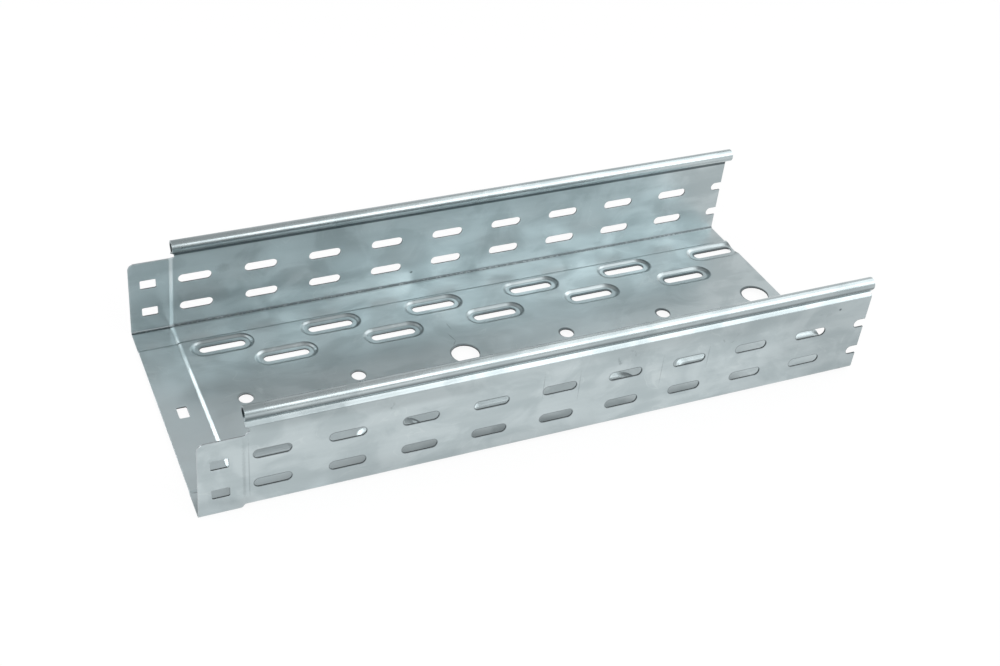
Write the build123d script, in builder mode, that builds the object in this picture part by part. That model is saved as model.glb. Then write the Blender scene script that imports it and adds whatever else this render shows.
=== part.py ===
from build123d import *
from math import atan, cos, radians, sin, tan
import os

# Perforated cable tray: one length of folded galvanised sheet, in millimetres.
# X runs along the tray, Y across it, Z up. X = 0 is half way along, Y = 0 is
# the centre line and Z = 0 is the lowest face, the underside of the coupler.

# Sheet and overall sizes
SHEET = 1.0
LENGTH = 496.0
WIDTH = 200.0

# Base: a strip along each wall and a raised panel between them
STRIP_WIDTH = 22.5
PANEL_RISE = 1.5
PANEL_RAMP = 2.5
CREASE_RADIUS = 2.0
FOLD_RADIUS = 3.0

# Rolled edge on top of the wall, its centre this high above the base
ROLL_RADIUS = 4.75
ROLL_HEIGHT = 73.6
ROLL_START_ANGLE = 215.0
ROLL_SWEEP = 295.0

# Groove under the roll, and the sloping neck from the groove down to the wall
GROOVE_DEPTH = 2.8
GROOVE_RADIUS = 0.5
NECK_HEIGHT = 2.6
NECK_RADIUS = 2.0

# Coupler: the lower, wider end that the next length drops into
COUPLER_STEP = 1.3
COUPLER_CORNER = 5.0
COUPLER_END_LEAN = 1.4

# Joggle: the S-shaped step from the trough to the coupler, drawn with short straight runs
JOGGLE_START = 32.0
JOGGLE_LENGTH = 4.2
JOGGLE_LEAN = 2.8
JOGGLE_RUNS = 5

# Cut that takes the top of the wall off over the coupler, and its relief notch
CUT_BELOW_NECK = 4.0
RELIEF_BELOW_NECK = 1.4
RELIEF_LAND = 0.3
RELIEF_DEPTH = 2.6

# Slots in the two walls, the first column this far past the joggle
SLOT_LENGTH = 25.0
SLOT_WIDTH = 7.0
SLOT_PITCH = 50.0
SLOT_COLUMNS = 10
SLOT_FIRST = 17.7
LOWER_ROW = 17.9
UPPER_ROW = 42.2

# Long slots in the base, each in a pressed pocket, the first this far past the joggle
POCKET_PITCH = 250 / 3
POCKET_FIRST = 27.5
OUTER_ROW = 64.0
INNER_ROW = 40.0
OUTER_COUNT = 6
INNER_COUNT = 5
LONG_SLOT_LENGTH = 34.5
LONG_SLOT_WIDTH = 7.0
POCKET_FLOOR_RIM = 3.0
POCKET_SLOPE_RUN = 3.7

# Round holes on the centre line, small, small, large and again
SMALL_HOLE = 10.5
LARGE_HOLE = 21.0
ROUND_HOLES = [SMALL_HOLE, SMALL_HOLE, LARGE_HOLE, SMALL_HOLE, SMALL_HOLE, LARGE_HOLE]

# Bolt slots in the coupler
BOLT_SLOT_LENGTH = 11.8
BOLT_SLOT_WIDTH = 7.4
BOLT_SLOT_CORNER = 1.0
BOLT_SLOT_FROM_END = 15.2
BOLT_ROWS_DROP = 0.9
BASE_BOLT_SLOT_FROM_END = 14.7

# Room that a cutter runs past the metal
PAST = 10.0

# Places worked out from the sizes above
left_end = -LENGTH / 2
right_end = LENGTH / 2
half_width = WIDTH / 2
base_level = COUPLER_STEP
panel_edge = half_width - STRIP_WIDTH - PANEL_RAMP
panel_underside = base_level + PANEL_RISE
pocket_floor = panel_underside - PANEL_RISE
coupler_half_width = half_width + COUPLER_STEP

# Rolled edge: where the outer face leaves the groove and meets the roll
roll_start = radians(ROLL_START_ANGLE)
roll_centre_y = half_width - ROLL_RADIUS
roll_centre_z = base_level + ROLL_HEIGHT
roll_start_y = roll_centre_y - ROLL_RADIUS * cos(roll_start)
roll_start_z = roll_centre_z + ROLL_RADIUS * sin(roll_start)
top_of_tray = roll_centre_z + ROLL_RADIUS

# Groove on the line that touches the roll where it starts, and the neck below it
groove_y = half_width - GROOVE_DEPTH
groove_z = roll_start_z - (roll_start_y - groove_y) / tan(roll_start)
neck_z = groove_z - NECK_HEIGHT

# The joggle leans: it lies further from the end at the top than at the base
joggle_start_x = left_end + JOGGLE_START
joggle_lean = radians(JOGGLE_LEAN)
joggle_direction = (cos(joggle_lean), 0, -sin(joggle_lean))

# So do the end edges of the coupler's walls, a little less
end_lean = radians(COUPLER_END_LEAN)
coupler_end_plane = Plane(
    origin=(left_end, 0, 0),
    x_dir=(0, 1, 0),
    z_dir=(cos(end_lean), 0, -sin(end_lean)),
)

# Top of the wall beside the joggle, and the notch between it and the roll's end
relief_bottom = neck_z - CUT_BELOW_NECK
relief_top = neck_z - RELIEF_BELOW_NECK
joggle_top_x = joggle_start_x + relief_bottom * tan(joggle_lean)
joggle_low_x = joggle_start_x - PAST * tan(joggle_lean)
relief_end = joggle_top_x + RELIEF_LAND
roll_end = relief_end - RELIEF_DEPTH

# Columns of holes are counted from the joggle, the bolt slots from the end
first_slot_x = joggle_start_x + SLOT_FIRST
first_pocket_x = joggle_start_x + POCKET_FIRST
bolt_slot_x = left_end + BOLT_SLOT_FROM_END
base_bolt_slot_x = left_end + BASE_BOLT_SLOT_FROM_END

# Slot rows of the walls, half way between the rows and the step between them
row_middle = base_level + (LOWER_ROW + UPPER_ROW) / 2
row_spacing = UPPER_ROW - LOWER_ROW

# Pocket: the flat floor round the slot, and the rim where the slope meets the panel
floor_length = LONG_SLOT_LENGTH + 2 * POCKET_FLOOR_RIM
floor_width = LONG_SLOT_WIDTH + 2 * POCKET_FLOOR_RIM
rim_length = floor_length + 2 * POCKET_SLOPE_RUN
rim_width = floor_width + 2 * POCKET_SLOPE_RUN
pocket_shift = SHEET * tan(atan(PANEL_RISE / POCKET_SLOPE_RUN) / 2)

# The joggle is level at both ends and steep in the middle: a plain channel for each section
joggle_channels = []
for run in range(JOGGLE_RUNS + 1):
    along = run / JOGGLE_RUNS
    share = 6 * along**5 - 15 * along**4 + 10 * along**3
    step = share * COUPLER_STEP
    section_plane = Plane(
        origin=(joggle_start_x - along * JOGGLE_LENGTH, 0, 0),
        x_dir=(0, 1, 0),
        z_dir=joggle_direction,
    )
    with BuildPart() as channel:
        with BuildSketch(Plane.YZ.offset(left_end)):
            with BuildLine():
                FilletPolyline(
                    (0, panel_underside - step),
                    (-panel_edge, panel_underside - step),
                    (-panel_edge - PANEL_RAMP, base_level - step),
                    (-half_width - step, base_level - step),
                    (-half_width - step, relief_bottom - step),
                    radius=[CREASE_RADIUS, CREASE_RADIUS, FOLD_RADIUS],
                )
                offset(amount=SHEET, side=Side.RIGHT)
            make_face()
            mirror(about=Plane.YZ)
        extrude(amount=JOGGLE_START + PAST)
        split(bisect_by=section_plane, keep=Keep.BOTTOM)
    joggle_channels.append(channel)
joggle_faces = [channel.faces().sort_by(Axis.X)[-1] for channel in joggle_channels]

# Coupler, the last of these channels, which is a whole step wider and lower
with BuildPart() as coupler:
    add(joggle_channels[-1].part)
    split(bisect_by=coupler_end_plane, keep=Keep.TOP)
    fillet(coupler.edges().filter_by(Axis.Y).group_by(Axis.Z)[-1].group_by(Axis.X)[0], COUPLER_CORNER)
    for side in (-1, 1):
        with BuildSketch(Plane.XZ.offset(-side * coupler_half_width)):
            with Locations((bolt_slot_x, row_middle - BOLT_ROWS_DROP)):
                with GridLocations(0, row_spacing, 1, 2):
                    RectangleRounded(BOLT_SLOT_LENGTH, BOLT_SLOT_WIDTH, BOLT_SLOT_CORNER)
        extrude(amount=PAST, both=True, mode=Mode.SUBTRACT)
    with BuildSketch(Plane.XY):
        with Locations((base_bolt_slot_x, 0)):
            RectangleRounded(BOLT_SLOT_WIDTH, BOLT_SLOT_LENGTH, BOLT_SLOT_CORNER)
    extrude(amount=PAST, mode=Mode.SUBTRACT)

# One pressed pocket: the metal below the panel, and the hollow with its slot above
with BuildPart() as pocket_metal:
    with BuildSketch(Plane.XY.offset(pocket_floor)):
        SlotOverall(floor_length + 2 * pocket_shift, floor_width + 2 * pocket_shift)
    with BuildSketch(Plane.XY.offset(panel_underside)):
        SlotOverall(rim_length + 2 * pocket_shift, rim_width + 2 * pocket_shift)
    loft()
with BuildPart() as pocket_hollow:
    with BuildSketch(Plane.XY.offset(pocket_floor + SHEET)):
        SlotOverall(floor_length, floor_width)
    with BuildSketch(Plane.XY.offset(panel_underside + SHEET)):
        SlotOverall(rim_length, rim_width)
    loft()
    with BuildSketch(Plane.XY.offset(pocket_floor - PAST)):
        SlotOverall(LONG_SLOT_LENGTH, LONG_SLOT_WIDTH)
    extrude(amount=2 * PAST)

# Trough, the full section with its rolled edges, cut back at the left for the joggle
with BuildPart() as trough:
    with BuildSketch(Plane.YZ.offset(joggle_start_x - PAST)) as trough_section:
        with BuildLine():
            FilletPolyline(
                (0, panel_underside),
                (-panel_edge, panel_underside),
                (-panel_edge - PANEL_RAMP, base_level),
                (-half_width, base_level),
                (-half_width, neck_z),
                (-groove_y, groove_z),
                (-roll_start_y, roll_start_z),
                radius=[CREASE_RADIUS, CREASE_RADIUS, FOLD_RADIUS, NECK_RADIUS, GROOVE_RADIUS],
            )
            CenterArc((-roll_centre_y, roll_centre_z), ROLL_RADIUS, ROLL_START_ANGLE, -ROLL_SWEEP)
            offset(amount=SHEET, side=Side.RIGHT)
        make_face()
        mirror(about=Plane.YZ)
    extrude(amount=LENGTH - JOGGLE_START + PAST)

    # Room for the joggle and the coupler, with the relief notch under the roll
    with BuildSketch(Plane.XZ):
        with BuildLine():
            Polyline(
                (left_end - PAST, -PAST),
                (joggle_low_x, -PAST),
                (joggle_top_x, relief_bottom),
                (relief_end, relief_bottom),
                (relief_end, relief_top),
                (roll_end, neck_z),
                (roll_end, top_of_tray + PAST),
                (left_end - PAST, top_of_tray + PAST),
                close=True,
            )
        make_face()
    extrude(amount=WIDTH, both=True, mode=Mode.SUBTRACT)

    # Wall slots; the last column is cut through by the end of the tray
    slot_middle = first_slot_x + SLOT_PITCH * (SLOT_COLUMNS - 1) / 2
    with BuildSketch(Plane.XZ):
        with Locations((slot_middle, row_middle)):
            with GridLocations(SLOT_PITCH, row_spacing, SLOT_COLUMNS, 2):
                SlotOverall(SLOT_LENGTH, SLOT_WIDTH)
    extrude(amount=WIDTH, both=True, mode=Mode.SUBTRACT)

    # Pockets of the four long-slot rows, the inner rows half a pitch further along
    outer_middle = first_pocket_x + POCKET_PITCH * (OUTER_COUNT - 1) / 2
    inner_middle = first_pocket_x + POCKET_PITCH * INNER_COUNT / 2
    with Locations((outer_middle, 0)):
        with GridLocations(POCKET_PITCH, 2 * OUTER_ROW, OUTER_COUNT, 2):
            add(pocket_metal.part)
    with Locations((inner_middle, 0)):
        with GridLocations(POCKET_PITCH, 2 * INNER_ROW, INNER_COUNT, 2):
            add(pocket_metal.part)
    with Locations((outer_middle, 0)):
        with GridLocations(POCKET_PITCH, 2 * OUTER_ROW, OUTER_COUNT, 2):
            add(pocket_hollow.part, mode=Mode.SUBTRACT)
    with Locations((inner_middle, 0)):
        with GridLocations(POCKET_PITCH, 2 * INNER_ROW, INNER_COUNT, 2):
            add(pocket_hollow.part, mode=Mode.SUBTRACT)
    split(bisect_by=Plane.YZ.offset(right_end), keep=Keep.BOTTOM)

    # Round holes on the centre line
    for column, diameter in enumerate(ROUND_HOLES):
        with BuildSketch(Plane.XY):
            with Locations((first_pocket_x + POCKET_PITCH * column, 0)):
                Circle(diameter / 2)
        extrude(amount=PAST, mode=Mode.SUBTRACT)

# The whole tray: the joggle's runs join the trough to the coupler
with BuildPart() as tray:
    add(trough.part)
    add(coupler.part)
    for run in range(JOGGLE_RUNS):
        loft([joggle_faces[run], joggle_faces[run + 1]], ruled=True)

print("tray", tray.part.volume, len(tray.part.solids()), tray.part.is_valid, tray.part.bounding_box())

tray.part.label = "tray"
os.makedirs("parts", exist_ok=True)
export_step(tray.part, "parts/tray.step")
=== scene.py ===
# %% [markdown]
# # Dressing a perforated cable tray
# The part is one length of cable tray: a single strip of galvanised sheet steel,
# 1 mm thick, that a press has slotted and a row of rollers has folded into a
# channel with rolled edges. The shape is already a solid at its real size, so
# this lesson only gives it its zinc skin, puts it on a pale floor, lights it
# softly and sets the camera. Everything is in metres.

# %% Load the solid tray
import math
import bpy
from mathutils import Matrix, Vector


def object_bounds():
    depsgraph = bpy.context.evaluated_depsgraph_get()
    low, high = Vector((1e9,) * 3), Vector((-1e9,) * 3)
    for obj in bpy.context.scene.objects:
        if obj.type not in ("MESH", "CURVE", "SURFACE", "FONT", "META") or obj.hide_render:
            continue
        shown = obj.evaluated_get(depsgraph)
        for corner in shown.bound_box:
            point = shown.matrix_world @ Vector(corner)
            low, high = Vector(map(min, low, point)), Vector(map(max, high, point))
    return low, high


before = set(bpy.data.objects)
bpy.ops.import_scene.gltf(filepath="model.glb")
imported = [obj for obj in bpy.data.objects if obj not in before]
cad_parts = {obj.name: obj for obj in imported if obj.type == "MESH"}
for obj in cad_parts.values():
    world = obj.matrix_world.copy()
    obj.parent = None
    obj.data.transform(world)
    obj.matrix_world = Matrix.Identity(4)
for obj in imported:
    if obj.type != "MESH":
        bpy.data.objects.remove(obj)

scene = bpy.context.scene
solid_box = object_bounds()
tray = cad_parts["tray"]


def rounded(box):
    return [[round(value, 4) for value in corner] for corner in box]


print("tray box", rounded(solid_box))
print("tray faces", len(tray.data.polygons))

# %% [markdown]
# ## Writing shader nodes as sums
# A zinc skin is mostly arithmetic on the position of a point: how far is it from
# the nearest slot, is it on a cut edge, is it on the wall or on the base. Such
# sums could be drawn by hand in the node editor, but there would be hundreds of
# small boxes. Helpers let each sum be written on one line instead: one adds a
# node and fills its sockets, one does a step of arithmetic, and one starts a
# node group. A sum finds its own node tree, from the sockets it is given.

# %% Helpers for nodes
def add_node(tree, kind, sockets=None, **settings):
    """Adds a node, sets its options, and fills or connects its sockets."""
    node = tree.nodes.new(kind)
    for name, value in settings.items():
        setattr(node, name, value)
    for name, value in (sockets or {}).items():
        if isinstance(value, bpy.types.NodeSocket):
            tree.links.new(value, node.inputs[name])
        else:
            node.inputs[name].default_value = value
    return node


def tree_of(*values):
    """The node tree that holds the sockets among these values."""
    return next(value.id_data for value in values if isinstance(value, bpy.types.NodeSocket))


def work_out(operation, *values, clamp=False):
    """One step of arithmetic on numbers and other nodes' outputs."""
    node = add_node(tree_of(*values), "ShaderNodeMath", dict(enumerate(values)),
                    operation=operation)
    node.use_clamp = clamp
    return node.outputs[0]


def split(vector):
    """The X, Y and Z of a vector."""
    return add_node(vector.id_data, "ShaderNodeSeparateXYZ", {"Vector": vector}).outputs


def make_group(name, inputs, outputs):
    """An empty group with named inputs (name, kind, start value) and outputs (name, kind)."""
    group = bpy.data.node_groups.new(name, "ShaderNodeTree")
    for label, kind, start in inputs:
        socket = group.interface.new_socket(label, in_out="INPUT", socket_type="NodeSocket" + kind)
        if start is not None:
            socket.default_value = start
    for label, kind in outputs:
        group.interface.new_socket(label, in_out="OUTPUT", socket_type="NodeSocket" + kind)
    entry = group.nodes.new("NodeGroupInput")
    result = group.nodes.new("NodeGroupOutput")
    return group, entry.outputs, result.inputs


print("helpers for nodes ready")

# %% [markdown]
# ## Where the press has been
# Every slot is punched, and the punch drags the sheet in a little around it. The
# base slots also sit in shallow pressed pockets, whose slopes are rounded at top
# and bottom. All of this depends on one thing: how far a point lies from the
# nearest slot. This group measures that for a row of equal slots: it folds the
# long direction back on itself once per pitch, takes off the straight half of
# the slot, and measures what is left. One group serves the walls, the base and,
# with no straight half, the round holes.

# %% Distance to a row of slots
slot_distance, entry, result = make_group(
    "distance to slots",
    [("Along", "Float", 0.0), ("Across", "Float", 0.0), ("First", "Float", 0.0),
     ("Pitch", "Float", 0.05), ("Straight Half", "Float", 0.009), ("Row", "Float", 0.0)],
    [("Distance", "Float")],
)
half_pitch = work_out("MULTIPLY", entry["Pitch"], 0.5)
minus_half = work_out("MULTIPLY", entry["Pitch"], -0.5)
along = work_out("SUBTRACT", entry["Along"], entry["First"])
along = work_out("ABSOLUTE", work_out("WRAP", along, half_pitch, minus_half))
along = work_out("MAXIMUM", work_out("SUBTRACT", along, entry["Straight Half"]), 0.0)
across = work_out("SUBTRACT", entry["Across"], entry["Row"])
square = work_out("MULTIPLY_ADD", across, across, work_out("MULTIPLY", along, along))
slot_distance.links.new(work_out("SQRT", square), result["Distance"])
print("group", slot_distance.name, "nodes", len(slot_distance.nodes))

# %% [markdown]
# ## The zinc skin
# Galvanised strip is not one flat grey. The zinc freezes in cloudy patches, and
# the rollers leave smears and fine streaks along the strip. A photograph could
# carry all that, but it would repeat and blur; noise measured in metres stays
# sharp and at the right scale. The group mixes four noises, each with its own
# share, into one tone from 0, dull, to 1, bright.

# %% Fades and the skin's noise
def fade(value, start, end, low=0.0, high=1.0):
    """Goes smoothly from low to high as the value goes from start to end."""
    sockets = {"Value": value, "From Min": start, "From Max": end, "To Min": low, "To Max": high}
    node = add_node(tree_of(value), "ShaderNodeMapRange", sockets, interpolation_type="SMOOTHSTEP")
    return node.outputs["Result"]


zinc_skin, entry, result = make_group(
    "zinc skin",
    [("Position", "Vector", None), ("Patch Size", "Float", 0.030), ("Smear Width", "Float", 0.014),
     ("Streak Width", "Float", 0.003), ("Grain Size", "Float", 0.0012)],
    [("Tone", "Float"), ("Patches", "Float"), ("Grain", "Float"), ("Water Lines", "Float")],
)


def skin_noise(size, stretch, detail, distortion=0.0):
    """Noise with features about the given size in metres, drawn out along the strip."""
    drawn_out = add_node(zinc_skin, "ShaderNodeVectorMath",
                         {0: entry["Position"], 1: (stretch, 1.0, 1.0)}, operation="MULTIPLY")
    sockets = {"Vector": drawn_out.outputs[0], "Scale": work_out("DIVIDE", 1.0, size),
               "Detail": detail, "Roughness": 0.55, "Distortion": distortion}
    return add_node(zinc_skin, "ShaderNodeTexNoise", sockets).outputs["Fac"]


print("group", zinc_skin.name, "started")

# %% Clouds, smears, streaks and grain
clouds = skin_noise(entry["Patch Size"], 0.7, 5.0, 0.8)
smears = skin_noise(entry["Smear Width"], 0.16, 3.0)
streaks = skin_noise(entry["Streak Width"], 0.04, 2.0)
grain = skin_noise(entry["Grain Size"], 1.0, 2.0)
layers = [(fade(clouds, 0.38, 0.60), 0.42), (fade(smears, 0.30, 0.70), 0.30),
          (streaks, 0.16), (grain, 0.12)]
tone = 0.0
for layer, share in layers:
    tone = work_out("MULTIPLY_ADD", layer, share, tone)
zinc_skin.links.new(fade(tone, 0.15, 0.85), result["Tone"])
zinc_skin.links.new(clouds, result["Patches"])
zinc_skin.links.new(grain, result["Grain"])
print("noises in the tone", len(layers))

# %% [markdown]
# ## Water lines
# Rinsing water dries on the strip in puddles, and the edge of each puddle leaves
# a thin wandering line. Such lines could be drawn as curves, but a noise already
# has them: its contours. One more noise is laid over the skin, and the line is
# where it passes one value, shown only where the smears let it through.

# %% Contours of a fifth noise
WATER_LEVEL = 0.60


def fade_out(value, start, end):
    """Goes smoothly from 1 to 0 as the value goes from start to end."""
    return fade(value, start, end, 1.0, 0.0)


def times(*values):
    """All the values multiplied together."""
    product = values[0]
    for value in values[1:]:
        product = work_out("MULTIPLY", product, value)
    return product


def distance_from(value, middle):
    return work_out("ABSOLUTE", work_out("SUBTRACT", value, middle))


puddles = skin_noise(times(entry["Patch Size"], 1.1), 0.8, 2.0, 1.6)
shore = fade_out(distance_from(puddles, WATER_LEVEL), 0.003, 0.018)
zinc_skin.links.new(times(shore, fade(smears, 0.42, 0.60)), result["Water Lines"])
print("group", zinc_skin.name, "nodes", len(zinc_skin.nodes))

# %% [markdown]
# ## Which faces were cut
# Where the press has punched the strip, the edge shows bare torn steel, darker and rougher than
# the zinc. Its colour is made near black, so it is also painted shade: it draws the dark crescent
# of shade inside each slot.
# The sheared ends are bare too, but smoother, and so is the cut rim of the
# coupling end. No face list is needed to find these edges: on the base a cut
# edge is the only face that stands upright, on a wall it is the only face that
# does not face sideways, and at the two ends it faces along the tray.

# %% Rules that hold or don't
def above(value, limit):
    """1 where the value is above the limit, 0 elsewhere."""
    return work_out("GREATER_THAN", value, limit)


def below(value, limit):
    """1 where the value is below the limit, 0 elsewhere."""
    return work_out("LESS_THAN", value, limit)


def highest(*values):
    """The highest of the values, so that marks laid over each other don't add up."""
    peak = values[0]
    for value in values[1:]:
        peak = work_out("MAXIMUM", peak, value)
    return peak


print("rules ready")

# %% Masks of the punched and sheared edges
BASE_EDGE_OUT, BASE_EDGE_TOP = 0.096, 0.010
WALL_FLAT_FROM, WALL_FLAT_TO = 0.006, 0.065
WALL_EDGE_PALE, WALL_EDGE_DARK = 0.0989, 0.0993  # the inner arris of a wall slot stays paler
TURNED_AWAY, TURNED_TO = 0.4, 0.85
END_FACES_FROM = 0.2440
COUPLING_RIM_BEFORE, COUPLING_RIM_ABOVE = -0.2080, 0.052
cut_edges, entry, result = make_group(
    "cut edges",
    [("Position", "Vector", None), ("Normal", "Vector", None)],
    [("Punched", "Float"), ("Sheared", "Float")],
)
place, facing = split(entry["Position"]), split(entry["Normal"])
sideways = work_out("ABSOLUTE", place["Y"])
faces_along, faces_side, faces_up = (work_out("ABSOLUTE", facing[axis]) for axis in "XYZ")
base_edge = times(below(sideways, BASE_EDGE_OUT), below(place["Z"], BASE_EDGE_TOP),
                  below(faces_up, TURNED_AWAY))
wall_edge = times(above(place["Z"], WALL_FLAT_FROM), below(place["Z"], WALL_FLAT_TO),
                  below(faces_side, TURNED_AWAY),
                  fade(sideways, WALL_EDGE_PALE, WALL_EDGE_DARK, 0.15, 1.0))
punched = highest(base_edge, wall_edge)
end_face = times(above(work_out("ABSOLUTE", place["X"]), END_FACES_FROM),
                 above(faces_along, TURNED_TO))
coupling_rim = times(below(place["X"], COUPLING_RIM_BEFORE),
                     above(place["Z"], COUPLING_RIM_ABOVE))
sheared = highest(end_face, times(punched, coupling_rim))
cut_edges.links.new(work_out("SUBTRACT", punched, sheared, clamp=True), result["Punched"])
cut_edges.links.new(sheared, result["Sheared"])
print("group", cut_edges.name, "nodes", len(cut_edges.nodes))

# %% [markdown]
# ## A mark
# A tray that has been handled and stacked carries dark specks, smudges, rings
# and scratches. They could be painted on an image, but an image needs the sheet
# unwrapped first. Here each is a soft ellipsoid in space: where the sheet passes
# through it, the sheet is marked. A lean turns a long thin one into a slanting
# scratch, a little noise makes its outline ragged, and its outline alone is a
# ring.

# %% One mark
mark_group, entry, result = make_group(
    "mark",
    [("Position", "Vector", None), ("Centre", "Vector", None), ("Half Size", "Vector", None),
     ("Lean", "Float", 0.0), ("Raggedness", "Float", 0.8), ("Rags Per Metre", "Float", 900.0)],
    [("Mask", "Float"), ("Ring", "Float")],
)
offset = add_node(mark_group, "ShaderNodeVectorMath",
                  {0: entry["Position"], 1: entry["Centre"]}, operation="SUBTRACT").outputs[0]
parts = split(offset)
leaned = work_out("SUBTRACT", parts["X"], times(parts["Y"], entry["Lean"]))
offset = add_node(mark_group, "ShaderNodeCombineXYZ",
                  {"X": leaned, "Y": parts["Y"], "Z": parts["Z"]}).outputs[0]
share = add_node(mark_group, "ShaderNodeVectorMath",
                 {0: offset, 1: entry["Half Size"]}, operation="DIVIDE").outputs[0]
length = add_node(mark_group, "ShaderNodeVectorMath", {0: share}, operation="LENGTH")
rags = add_node(mark_group, "ShaderNodeTexNoise",
                {"Vector": entry["Position"], "Scale": entry["Rags Per Metre"], "Detail": 2.0})
uneven = work_out("SUBTRACT", rags.outputs["Fac"], 0.5)
reach = work_out("MULTIPLY_ADD", uneven, entry["Raggedness"], length.outputs["Value"])
mark_group.links.new(fade_out(reach, 0.3, 1.0), result["Mask"])
mark_group.links.new(fade_out(distance_from(reach, 1.0), 0.05, 0.25), result["Ring"])
print("group", mark_group.name, "nodes", len(mark_group.nodes))

# %% [markdown]
# ## The galvanised steel
# Zinc is a metal, so its colour is the colour of its reflections, and the
# Principled shader's Metallic stays at 1. What makes it look like sheet and not
# like chrome is a middling roughness that changes from patch to patch, and a
# surface that is never quite flat. The material starts with where a point is on
# the tray, because most of its detail follows the tray's own shape.

# %% Where a point is
zinc = bpy.data.materials.new("zinc")
zinc.use_nodes = True
steel = zinc.node_tree
metal = steel.nodes["Principled BSDF"]
position = add_node(steel, "ShaderNodeTexCoord").outputs["Object"]
normal = add_node(steel, "ShaderNodeNewGeometry").outputs["True Normal"]
point, facing = split(position), split(normal)
sideways = work_out("ABSOLUTE", point["Y"])
faces_out = times(work_out("SIGN", point["Y"]), facing["Y"])
LEFT_END = solid_box[0][0]
JOGGLE_START, JOGGLE_END = LEFT_END + 0.0320, LEFT_END + 0.0362
WALLS_FROM = 0.0985
beyond_joggle = above(point["X"], JOGGLE_END)
on_wall = times(above(sideways, WALLS_FROM), beyond_joggle)
on_base = times(below(sideways, WALLS_FROM), beyond_joggle)
print("joggle from", round(JOGGLE_START, 4), "to", round(JOGGLE_END, 4))

# %% [markdown]
# ## Gaps to the punched slots
# The skin has to know the same pitches and rows as the press. Two rows run along
# each wall. On the base there is an outer row, near the wall, and an inner row
# set half a pitch further on, which has one slot fewer: past its ends its gap is
# made a metre longer, so that nothing shows there.

# %% Gaps to the slots
WALL_SLOT_FIRST, WALL_SLOT_PITCH, WALL_SLOT_HALF = LEFT_END + 0.0497, 0.05, 0.009
LOWER_ROW, UPPER_ROW = 0.0192, 0.0435
POCKET_FIRST, POCKET_PITCH, POCKET_HALF = LEFT_END + 0.0595, 0.25 / 3, 0.01375
OUTER_ROW, INNER_ROW = 0.064, 0.040
INNER_ROW_MIDDLE, INNER_ROW_REACH = 0.02, 0.205


def slot_gap(across, first, pitch, straight_half, row):
    sockets = {"Along": point["X"], "Across": across, "First": first,
               "Pitch": pitch, "Straight Half": straight_half, "Row": row}
    return add_node(steel, "ShaderNodeGroup", sockets, node_tree=slot_distance).outputs["Distance"]


def base_slot_gap(across):
    outer_gap = slot_gap(across, POCKET_FIRST, POCKET_PITCH, POCKET_HALF, OUTER_ROW)
    inner_first = POCKET_FIRST + POCKET_PITCH / 2
    inner_gap = slot_gap(across, inner_first, POCKET_PITCH, POCKET_HALF, INNER_ROW)
    past_inner_row = above(distance_from(point["X"], INNER_ROW_MIDDLE), INNER_ROW_REACH)
    return work_out("MINIMUM", outer_gap, work_out("ADD", inner_gap, past_inner_row))


wall_gap = work_out("MINIMUM", *(
    slot_gap(point["Z"], WALL_SLOT_FIRST, WALL_SLOT_PITCH, WALL_SLOT_HALF, row)
    for row in (LOWER_ROW, UPPER_ROW)))
pocket_gap = base_slot_gap(sideways)
print("first wall slot", round(WALL_SLOT_FIRST, 4), "first pocket", round(POCKET_FIRST, 4))

# %% [markdown]
# ## Rounded pocket slopes
# In the solid the slope of each pocket is straight, with a hard edge at its top and foot. In the
# real sheet the steel flows, so the slope is an S. Modelling that would cost thousands of faces; a
# bump does it for nothing. Its height is the difference between the S curve and the straight
# slope. The slopes that face one way are painted darker, which draws a crescent of painted shade
# at one end of each pocket: the shade grows with how far the slope faces that way.

# %% S-shaped slopes
SLOPE_FOOT, SLOPE_TOP = 0.0065, 0.0102
POCKET_DEPTH = 0.0015
straight = add_node(steel, "ShaderNodeMapRange", {
    "Value": pocket_gap, "From Min": SLOPE_FOOT, "From Max": SLOPE_TOP}).outputs["Result"]
curved = fade(pocket_gap, SLOPE_FOOT, SLOPE_TOP)
slope_lift = times(work_out("SUBTRACT", curved, straight), POCKET_DEPTH,
                   work_out("SIGN", facing["Z"]), on_base)
near_slope = times(on_base, fade_out(pocket_gap, 0.0112, 0.0120))
print("pocket slopes rounded over", round((SLOPE_TOP - SLOPE_FOOT) * 1000, 1), "mm")

# %% Painted shade on the slopes
SLOPE_SHADE_ALONG, SLOPE_SHADE_ACROSS = -2.4, -1.2
# painted shade on the pocket slopes that face towards -X and -Y
slope_shade = work_out("MULTIPLY_ADD", facing["X"], SLOPE_SHADE_ALONG,
                 times(facing["Y"], SLOPE_SHADE_ACROSS), clamp=True)
grime_and_shade = times(slope_shade, fade(pocket_gap, 0.0075, 0.0100, 0.30, 0.75), near_slope,
              above(facing["Z"], 0.5))
print("slopes shaded")
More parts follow.
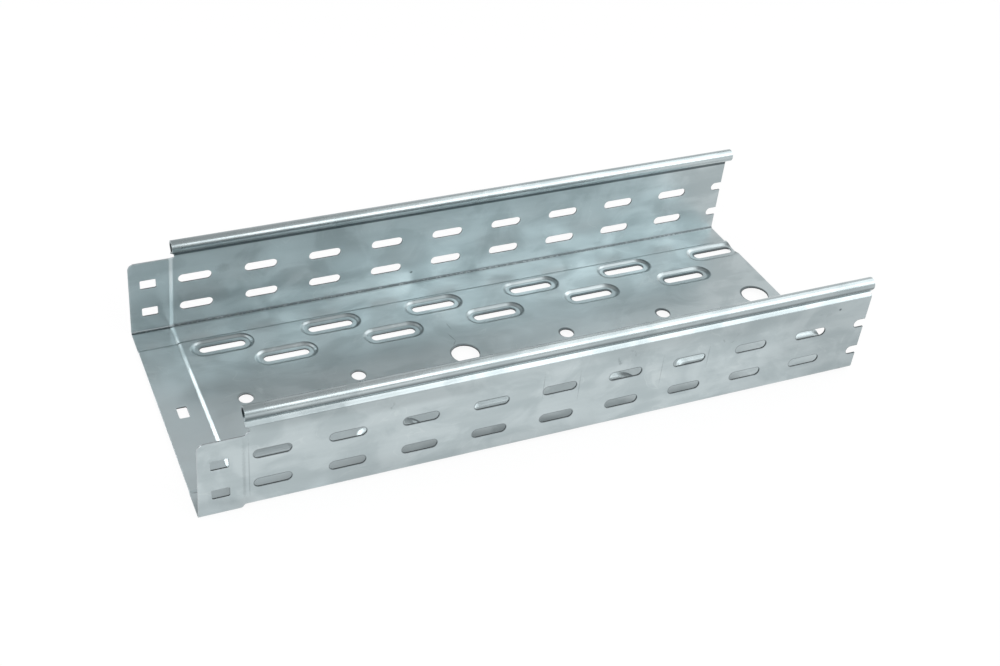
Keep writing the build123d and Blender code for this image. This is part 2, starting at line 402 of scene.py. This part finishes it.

# %% [markdown]
# ## Painted shade in the folds
# The inside of the sharp fold between base and wall is painted with a thin ragged dark line:
# painted shade in the crease. The fold is the place where the distance sideways and the height add
# up to a fixed sum, so one subtraction finds it; past the joggle both step a little, and the line
# steps with them. A fainter broken line of painted shade runs along the crease where the raised
# panel of the base starts.

# %% The fold line and the panel line
FOLD_SUM = 0.10135
PANEL_START = 0.0772
joggle_steps = (JOGGLE_START - 0.0025, JOGGLE_START + 0.0005)
ragged = add_node(steel, "ShaderNodeTexNoise",
                  {"Vector": position, "Scale": 420.0, "Detail": 3.0}).outputs["Fac"]
across_fold = work_out("SUBTRACT", work_out("ADD", sideways, point["Z"]), FOLD_SUM)
across_fold = work_out("MULTIPLY_ADD", ragged, 0.0008, across_fold)
fold_middle = fade(point["X"], *joggle_steps, -0.0004, 0.0004)
fold_half = fade(point["X"], *joggle_steps, 0.0015, 0.0014)
from_fold = work_out("DIVIDE", distance_from(across_fold, fold_middle), fold_half)
# painted shade: a thin ragged dark line inside the fold between base and wall
fold_shade = times(fade_out(from_fold, 0.45, 1.2), fade(ragged, 0.36, 0.50, 0.80, 1.0),
                  above(facing["Z"], 0.05))
# painted shade along the crease where the raised panel starts
panel_crease_shade = times(fade_out(distance_from(sideways, PANEL_START), 0.0002, 0.0007),
                   fade(ragged, 0.42, 0.58), below(point["Z"], 0.008), beyond_joggle, 0.45)
grime_and_shade = highest(grime_and_shade, fold_shade, panel_crease_shade)
print("grime in the folds")

# %% [markdown]
# ## Shade under the rolled edges
# The groove below each rolled edge, the inner flank of the curl and the wall just under it lie in
# shade. Contact shadow alone is too weak there under soft light, so each gets a band of painted
# shade between two heights, which fades at both sides and shows only on the side that faces the
# right way.

# %% Bands of shade
def band(value, start, full_from, full_to, end):
    """1 between full_from and full_to, and fades to 0 at start and end."""
    return times(fade(value, start, full_from), fade_out(value, full_to, end))


# bands of painted shade in the grooves and under the rolled edges
roll_shades = [  # name, heights, which way it faces, strength
    ("outer flank", (0.0708, 0.0726, 0.0736, 0.0760), above(faces_out, 0.25), 0.75),
    ("inner foot", (0.0641, 0.0648, 0.0700, 0.0712), below(faces_out, -0.25), 0.95),
    ("inner flank", (0.0722, 0.0734, 0.0742, 0.0756), below(faces_out, 0.1), 0.30),
]
for name, heights, faces_this_way, strength in roll_shades:
    grime_and_shade = highest(grime_and_shade, times(band(point["Z"], *heights), faces_this_way, strength))
    print("shade on the", name)

# %% [markdown]
# ## Specks, scratches, creases and rings
# Most are marks that a buyer would wipe with a thumb: three scratches on the base, specks on the
# walls and smudges near the far end. Faint upright dark lines on the near wall are painted shade:
# along creases where the strip was bent by hand and straightened, and along the joggle. Three
# faint broken rings are left by drops that dried. Each line of the list places one mark group.

# %% Small marks
NEAR_WALL, FAR_WALL = -0.1, 0.1


def add_mark(centre, half_size, more):
    sockets = {"Position": position, "Centre": centre, "Half Size": half_size, **more}
    return add_node(steel, "ShaderNodeGroup", sockets, node_tree=mark_group).outputs


marks = [  # centre, half size, lean, strength
    ((-0.0209, 0.0344, 0.0038), (0.0006, 0.0068, 0.002), -0.12, 0.45),
    ((-0.0240, 0.0217, 0.0038), (0.0006, 0.0062, 0.002), -0.26, 0.55),
    ((-0.0247, 0.0142, 0.0038), (0.0005, 0.0034, 0.002), 0.73, 0.55),
    ((0.2227, NEAR_WALL, 0.0605), (0.0016, 0.003, 0.0016), 0.0, 0.9),
    ((0.2375, NEAR_WALL, 0.0029), (0.0018, 0.003, 0.0014), 0.0, 0.9),
    ((-0.0270, FAR_WALL, 0.0122), (0.0020, 0.003, 0.0016), 0.0, 0.9),
    ((0.2140, NEAR_WALL, 0.0575), (0.0060, 0.004, 0.0032), 0.3, 0.30),
    ((0.2070, NEAR_WALL, 0.0590), (0.0040, 0.004, 0.0020), -0.3, 0.26),
    ((-0.1770, FAR_WALL, 0.0460), (0.0080, 0.004, 0.0060), 0.0, 0.22),
    # painted shade along faint upright creases of the near wall
    ((-0.0109, NEAR_WALL, 0.0480), (0.0005, 0.004, 0.0130), 0.0, 0.30),
    ((0.0163, NEAR_WALL, 0.0420), (0.0005, 0.004, 0.0160), 0.0, 0.28),
    ((0.0802, NEAR_WALL, 0.0400), (0.0005, 0.004, 0.0180), 0.0, 0.26),
    ((0.1167, NEAR_WALL, 0.0450), (0.0005, 0.004, 0.0150), 0.0, 0.26),
    ((0.1930, NEAR_WALL, 0.0400), (0.0008, 0.004, 0.0180), 0.0, 0.24),
    ((-0.2440, -0.0780, 0.0025), (0.0030, 0.0010, 0.003), 0.0, 0.6),
    # painted shade along the joggle on the near wall
    ((-0.2174, NEAR_WALL, 0.0300), (0.0018, 0.004, 0.0400), 0.0, 0.20),
    ((-0.2138, NEAR_WALL, 0.0300), (0.0006, 0.004, 0.0360), 0.0, 0.26),
]
for centre, half_size, lean, strength in marks:
    mark = add_mark(centre, half_size, {"Lean": lean})
    grime_and_shade = highest(grime_and_shade, times(mark["Mask"], strength))
print("marks", len(marks))

# %% Broken rings
RING_STRENGTH = 0.34
broken = add_node(steel, "ShaderNodeTexNoise",
                  {"Vector": position, "Scale": 170.0, "Detail": 1.0}).outputs["Fac"]
broken = fade(broken, 0.46, 0.62)
rings = [((-0.1226, NEAR_WALL, 0.0620), 0.0050), ((0.0506, NEAR_WALL, 0.0580), 0.0060),
         ((0.1325, NEAR_WALL, 0.0580), 0.0060)]
for centre, half in rings:
    mark = add_mark(centre, (half, 0.01, half), {})
    grime_and_shade = highest(grime_and_shade, times(mark["Ring"], broken, RING_STRENGTH))
print("rings", len(rings))

# %% [markdown]
# ## Large soft patches
# Some parts of the strip are painted duller or brighter over a hand's breadth: duller towards the
# right end, along the top and the foot of the walls, on the base by the near wall and on the left
# of the far rolled edge; brighter at the coupling end and in a few patches on the base and the far
# wall. These are partly painted shade and painted sheen, partly real dull and bright zinc. The
# same mark group makes these, only much larger and with slower rags. Duller patches join the grime
# and painted shade, brighter ones get a mask of painted sheen of their own.

# %% Dull and bright patches
# duller patches are painted shade and brighter ones painted sheen, with some real dull and bright
# zinc among them
large_patches = [  # centre, half size, strength: above 0 for duller, below 0 for brighter
    ((0.2000, NEAR_WALL, 0.0700), (0.2600, 0.020, 0.0220), 0.24),
    ((-0.1500, NEAR_WALL, 0.0660), (0.1000, 0.020, 0.0100), 0.24),
    ((-0.1000, NEAR_WALL, 0.0610), (0.0700, 0.020, 0.0080), 0.20),
    ((0.2500, NEAR_WALL, 0.0350), (0.1200, 0.020, 0.1000), 0.24),
    ((0.2500, FAR_WALL, 0.0400), (0.0900, 0.020, 0.0900), 0.16),
    ((-0.1900, FAR_WALL, 0.0180), (0.0800, 0.020, 0.0320), 0.24),
    ((-0.1900, FAR_WALL, 0.0700), (0.1300, 0.030, 0.0080), 0.35),
    ((0.0000, -0.0900, 0.0020), (0.3000, 0.014, 0.0080), 0.50),
    ((-0.0800, FAR_WALL, 0.0080), (0.0500, 0.035, 0.0300), 0.16),
    ((0.1500, FAR_WALL, 0.0500), (0.0800, 0.020, 0.0400), 0.14),
    ((0.1500, 0.0250, 0.0030), (0.0600, 0.030, 0.0200), 0.07),
    ((0.0620, FAR_WALL, 0.0080), (0.0700, 0.035, 0.0300), 0.16),
    ((-0.2360, NEAR_WALL, 0.0040), (0.0400, 0.020, 0.0150), 0.35),
    ((-0.1000, NEAR_WALL, 0.0000), (0.2500, 0.020, 0.0220), 0.18),
    ((-0.0600, 0.0300, 0.0030), (0.0700, 0.035, 0.0200), 0.16),
    ((-0.2400, -0.0250, 0.0030), (0.0500, 0.110, 0.0200), -0.80),
    ((-0.1850, -0.0550, 0.0030), (0.0900, 0.060, 0.0200), -0.75),
    ((-0.0700, -0.0450, 0.0030), (0.1000, 0.040, 0.0200), -0.28),
    ((0.0650, 0.0000, 0.0030), (0.0700, 0.045, 0.0200), -0.30),
    ((-0.0150, FAR_WALL, 0.0280), (0.0500, 0.012, 0.0280), -0.24),
    ((-0.0750, FAR_WALL, 0.0300), (0.0260, 0.020, 0.0200), -0.25),
]
SLOW_RAGS = {"Raggedness": 1.0, "Rags Per Metre": 28.0}
painted_sheen = 0.0
for centre, half_size, strength in large_patches:
    patch = times(add_mark(centre, half_size, SLOW_RAGS)["Mask"], abs(strength))
    if strength > 0:
        grime_and_shade = highest(grime_and_shade, patch)
    else:
        painted_sheen = highest(painted_sheen, patch)
print("large patches", len(large_patches))

# %% [markdown]
# ## Dark rims round the holes
# Round each punched hole the sheet rolls over into the die, and a thin dark rim of painted shade
# stands for the shade on that rolled edge. The gap group gives it: a rim is the narrow band just
# past a hole's edge. The distance across the base is measured from a line 1 mm off the middle, so
# the rim is wider on the side towards the far wall, where more shade is painted. The rims fade out
# towards the coupling end, and on the walls they show only outside.

# %% Rims of the slots and round holes
FAR_SIDE_SHIFT = 0.0010
RIM_STRENGTH, WALL_RIM_STRENGTH = 0.85, 0.75
shifted_sideways = distance_from(point["Y"], FAR_SIDE_SHIFT)
small_gap = slot_gap(shifted_sideways, POCKET_FIRST, POCKET_PITCH, 0.0, 0.0)
large_gap = slot_gap(shifted_sideways, POCKET_FIRST + 2 * POCKET_PITCH, 3 * POCKET_PITCH, 0.0, 0.0)
# painted shade: dark rims round the base slots and round holes
slot_rim = fade_out(base_slot_gap(shifted_sideways), 0.0040, 0.0047)
small_rim = fade_out(small_gap, 0.0056, 0.0064)
large_rim = times(fade_out(large_gap, 0.0108, 0.0116), above(large_gap, 0.0094))
base_rim_shade = times(highest(slot_rim, small_rim, large_rim),
                 fade(point["X"], -0.12, 0.10, 0.35, 1.0), on_base)
# painted shade round the wall slots, on the outer face only
wall_rim_shade = times(fade_out(wall_gap, 0.0036, 0.0043), on_wall, above(faces_out, 0.5),
                 WALL_RIM_STRENGTH)
grime_and_shade = highest(grime_and_shade, times(highest(base_rim_shade, wall_rim_shade), RIM_STRENGTH))
print("rims round the holes")

# %% [markdown]
# ## Colour
# All the masks meet here, each laid over the one before. The tone chooses between a dull and a
# bright zinc, the water lines and the patches of painted sheen are paler, grime and painted shade
# are dark, and the cut edges come last, because bare steel shows through everything. The colours
# are a metal's, so they are pale: the room and the lamps do the rest.

# %% Colours laid over each other
def blend_colours(share, first, second):
    """The second colour laid over the first by a share from 0 to 1."""
    node = add_node(tree_of(share, first, second), "ShaderNodeMix",
                    {0: share, 6: first, 7: second}, data_type="RGBA")
    return node.outputs[2]


DULL_ZINC, BRIGHT_ZINC = (0.434, 0.500, 0.516, 1), (0.536, 0.604, 0.620, 1)
# the paler second colour on this line is painted sheen for the brighter patches
DRIED_WATER, PAINTED_SHEEN_ZINC = (0.72, 0.78, 0.78, 1), (0.72, 0.82, 0.85, 1)
# this dark colour stands for grime and painted shade alike
DARK_GRIME_AND_SHADE = (0.055, 0.072, 0.080, 1)
# torn steel is near black: bare steel darker than zinc, and painted shade at the punched edges
SHEARED_STEEL, TORN_STEEL_AND_SHADE = (0.50, 0.55, 0.57, 1), (0.085, 0.095, 0.10, 1)
skin = add_node(steel, "ShaderNodeGroup", {"Position": position}, node_tree=zinc_skin).outputs
edges = add_node(steel, "ShaderNodeGroup", {"Position": position, "Normal": normal},
                 node_tree=cut_edges).outputs
colour = blend_colours(skin["Tone"], DULL_ZINC, BRIGHT_ZINC)
for share, laid_over in [
    (times(skin["Water Lines"], 0.22), DRIED_WATER), (painted_sheen, PAINTED_SHEEN_ZINC),
    (times(grime_and_shade, 0.9), DARK_GRIME_AND_SHADE), (edges["Sheared"], SHEARED_STEEL),
    (edges["Punched"], TORN_STEEL_AND_SHADE),
]:
    colour = blend_colours(share, colour, laid_over)
steel.links.new(colour, metal.inputs["Base Color"])
metal.inputs["Metallic"].default_value = 1.0
print("zinc nodes", len(steel.nodes))

# %% [markdown]
# ## Roughness
# The cloudy patches differ more in roughness than in colour, and that is what
# shows as the light moves. Dried water is a little rougher, torn steel much
# rougher. The rolled edges have been through the most rollers, so they are
# polished smoother and carry no water lines.

# %% Rough and smooth zinc
ROLLS_FROM = 0.0685
TORN_ROUGHNESS = 0.6
on_roll = above(point["Z"], ROLLS_FROM)
off_roll = work_out("SUBTRACT", 1.0, on_roll)
roughness = fade(skin["Patches"], 0.35, 0.65, 0.37, 0.28)
roughness = work_out("MULTIPLY_ADD", times(skin["Water Lines"], off_roll), 0.08, roughness)
roughness = times(roughness, work_out("MULTIPLY_ADD", on_roll, -0.20, 1.0))
roughness = highest(roughness, times(edges["Punched"], TORN_ROUGHNESS))
steel.links.new(roughness, metal.inputs["Roughness"])
print("roughness linked")

# %% [markdown]
# ## A sheet that is never quite flat
# Thin sheet is wavy, dips round each slot and has a fine grain, and without
# these its reflections look like glass. All are too shallow to model, so their
# heights, in metres, are added up for one Bump node. Under it a Bevel node
# softens the sharp creases of the solid: a little more at the joggle, where the
# sheet is drawn down over a die, and not at the pocket slopes and the rolled
# edges, which have their own curve.

# %% Soft creases, waves, dips and grain
CREASE_RADIUS, JOGGLE_RADIUS = 0.0006, 0.0012
WAVE_HEIGHT, SLOT_DIP, GRAIN_HEIGHT = 0.0006, -0.00006, 0.000006
from_joggle = distance_from(point["X"], (JOGGLE_START + JOGGLE_END) / 2)
softness = times(fade(from_joggle, 0.004, 0.005, JOGGLE_RADIUS, CREASE_RADIUS),
                 work_out("SUBTRACT", 1.0, near_slope), off_roll)
soft_creases = add_node(steel, "ShaderNodeBevel", {"Radius": softness}, samples=4)
waves = add_node(steel, "ShaderNodeTexNoise",
                 {"Vector": position, "Scale": 22.0, "Detail": 1.0, "Roughness": 0.4})
near_wall_slot = times(on_wall, fade_out(wall_gap, 0.003, 0.011))
height = times(waves.outputs["Fac"], WAVE_HEIGHT)
height = work_out("MULTIPLY_ADD", near_wall_slot, SLOT_DIP, height)
height = work_out("ADD", height, slope_lift)
height = work_out("MULTIPLY_ADD", skin["Grain"], GRAIN_HEIGHT, height)
bump = add_node(steel, "ShaderNodeBump", {
    "Height": height, "Normal": soft_creases.outputs["Normal"], "Strength": 1.0, "Distance": 1.0})
steel.links.new(bump.outputs["Normal"], metal.inputs["Normal"])
tray.data.materials.clear()
tray.data.materials.append(zinc)
print("zinc nodes", len(steel.nodes))

# %% [markdown]
# ## The floor
# A white sheet of paper under the tray. For the camera it is pure white, and so
# it is for the steel that mirrors it; part of it stays ordinary paper, so that
# the shadow of the tray still falls on it.

# %% Pale floor
FLOOR_HALF = 3.0
floor_mesh = bpy.data.meshes.new("floor")
corners = [(x * FLOOR_HALF, y * FLOOR_HALF, 0) for x, y in ((-1, -1), (1, -1), (1, 1), (-1, 1))]
floor_mesh.from_pydata(corners, [], [(0, 1, 2, 3)])
floor = bpy.data.objects.new("floor", floor_mesh)
scene.collection.objects.link(floor)
print("floor", 2 * FLOOR_HALF, "m square")

# %% White paper
GLOWING_SHARE = 0.9
paper = bpy.data.materials.new("white paper")
paper.use_nodes = True
sheet = paper.node_tree
matt = sheet.nodes["Principled BSDF"]
matt.inputs["Base Color"].default_value = (0.93, 0.93, 0.93, 1)
matt.inputs["Roughness"].default_value = 0.9
matt.inputs["Specular IOR Level"].default_value = 0.2
seen = add_node(sheet, "ShaderNodeLightPath").outputs
seen_by = highest(seen["Is Camera Ray"], seen["Is Glossy Ray"], seen["Is Transmission Ray"])
white = add_node(sheet, "ShaderNodeEmission", {"Color": (1, 1, 1, 1), "Strength": 1.0})
mix = add_node(sheet, "ShaderNodeMixShader", {
    0: times(seen_by, GLOWING_SHARE), 1: matt.outputs["BSDF"], 2: white.outputs["Emission"]})
sheet.links.new(mix.outputs["Shader"], sheet.nodes["Material Output"].inputs["Surface"])
floor_mesh.materials.append(paper)
print("floor paper", paper.name)

# %% [markdown]
# ## The room
# Sheet metal shows its surroundings, so the room is chosen by what the steel
# mirrors. A grey room all round would make it flat; this one is darker overhead,
# for the base that looks up, and on the left, for the contrast between the
# walls. A picture of a studio would do the same, but two fades are enough.

# %% Grey room, darker overhead and on the left
OVERHEAD_STRENGTH = 0.45
room = bpy.data.worlds.new("room")
scene.world = room
room.use_nodes = True
sky = room.node_tree.nodes["Background"]
direction = split(add_node(room.node_tree, "ShaderNodeTexCoord").outputs["Generated"])
side = fade(direction["X"], -0.20, 0.75, 0.36, 0.98)
overhead = fade(direction["Z"], 0.50, 0.90)
strength = work_out("MULTIPLY_ADD", overhead, work_out("SUBTRACT", OVERHEAD_STRENGTH, side), side)
room.node_tree.links.new(strength, sky.inputs["Strength"])
sky.inputs["Color"].default_value = (1, 1, 1, 1)
print("room lit")

# %% [markdown]
# ## The soft boxes
# A studio lights sheet metal with large soft boxes, because a small lamp would
# only show as a hot spot. One in front and above is for the rolled edges, one
# stands on the right and one on the left, and two narrow ones light up the slope
# of the joggle. Each is an area lamp that looks at the tray.

# %% Soft boxes
def soft_box(name, turn, rise, distance, width, depth, brightness):
    """A rectangular lamp that looks at the tray; brightness 1 shows as white.

    The turn is measured clockwise from the back, the rise from the floor, in degrees.
    """
    lamp = bpy.data.lights.new(name, "AREA")
    lamp.shape = "RECTANGLE"
    lamp.size, lamp.size_y = width, depth
    lamp.energy = brightness * math.pi * width * depth
    holder = bpy.data.objects.new(name, lamp)
    scene.collection.objects.link(holder)
    turn, rise = math.radians(turn), math.radians(rise)
    level = distance * math.cos(rise)
    holder.location = (level * math.sin(turn), level * math.cos(turn), distance * math.sin(rise))
    holder.rotation_euler = (math.pi / 2 - rise, 0.0, math.pi - turn)
    return holder


soft_boxes = [  # name, turn, rise, distance, width, depth, brightness
    ("front soft box", 147, 38, 2.0, 1.6, 1.2, 1.8),
    ("right soft box", 92, 46, 2.0, 1.8, 1.8, 1.3),
    ("left soft box", -88, 34, 2.0, 2.4, 2.1, 1.4),
    ("back left strip", -36, 29, 2.0, 0.35, 0.6, 3.8),
    ("front left strip", -138, 33, 2.0, 0.6, 1.2, 3.8),
]
for settings in soft_boxes:
    print(soft_box(*settings).name)

# %% [markdown]
# ## The camera
# The camera looks down into the channel from the front left, with its frame
# shifted a little so that the tray sits left of the middle.

# %% Camera
CAMERA_PLACE = (-0.37157, -0.71133, 0.61985)
CAMERA_TURNS = (52.5222, -2.7658, -21.1406)
view = bpy.data.cameras.new("camera")
view.sensor_width = 36
view.lens = 49.017
view.shift_x = 0.08855
view.shift_y = 0.00621
view.clip_start = 0.05
camera = bpy.data.objects.new("camera", view)
camera.location = CAMERA_PLACE
camera.rotation_euler = [math.radians(turn) for turn in CAMERA_TURNS]
scene.collection.objects.link(camera)
scene.camera = camera
scene.view_settings.view_transform = "Standard"
print("camera height", round(camera.location.z, 3))
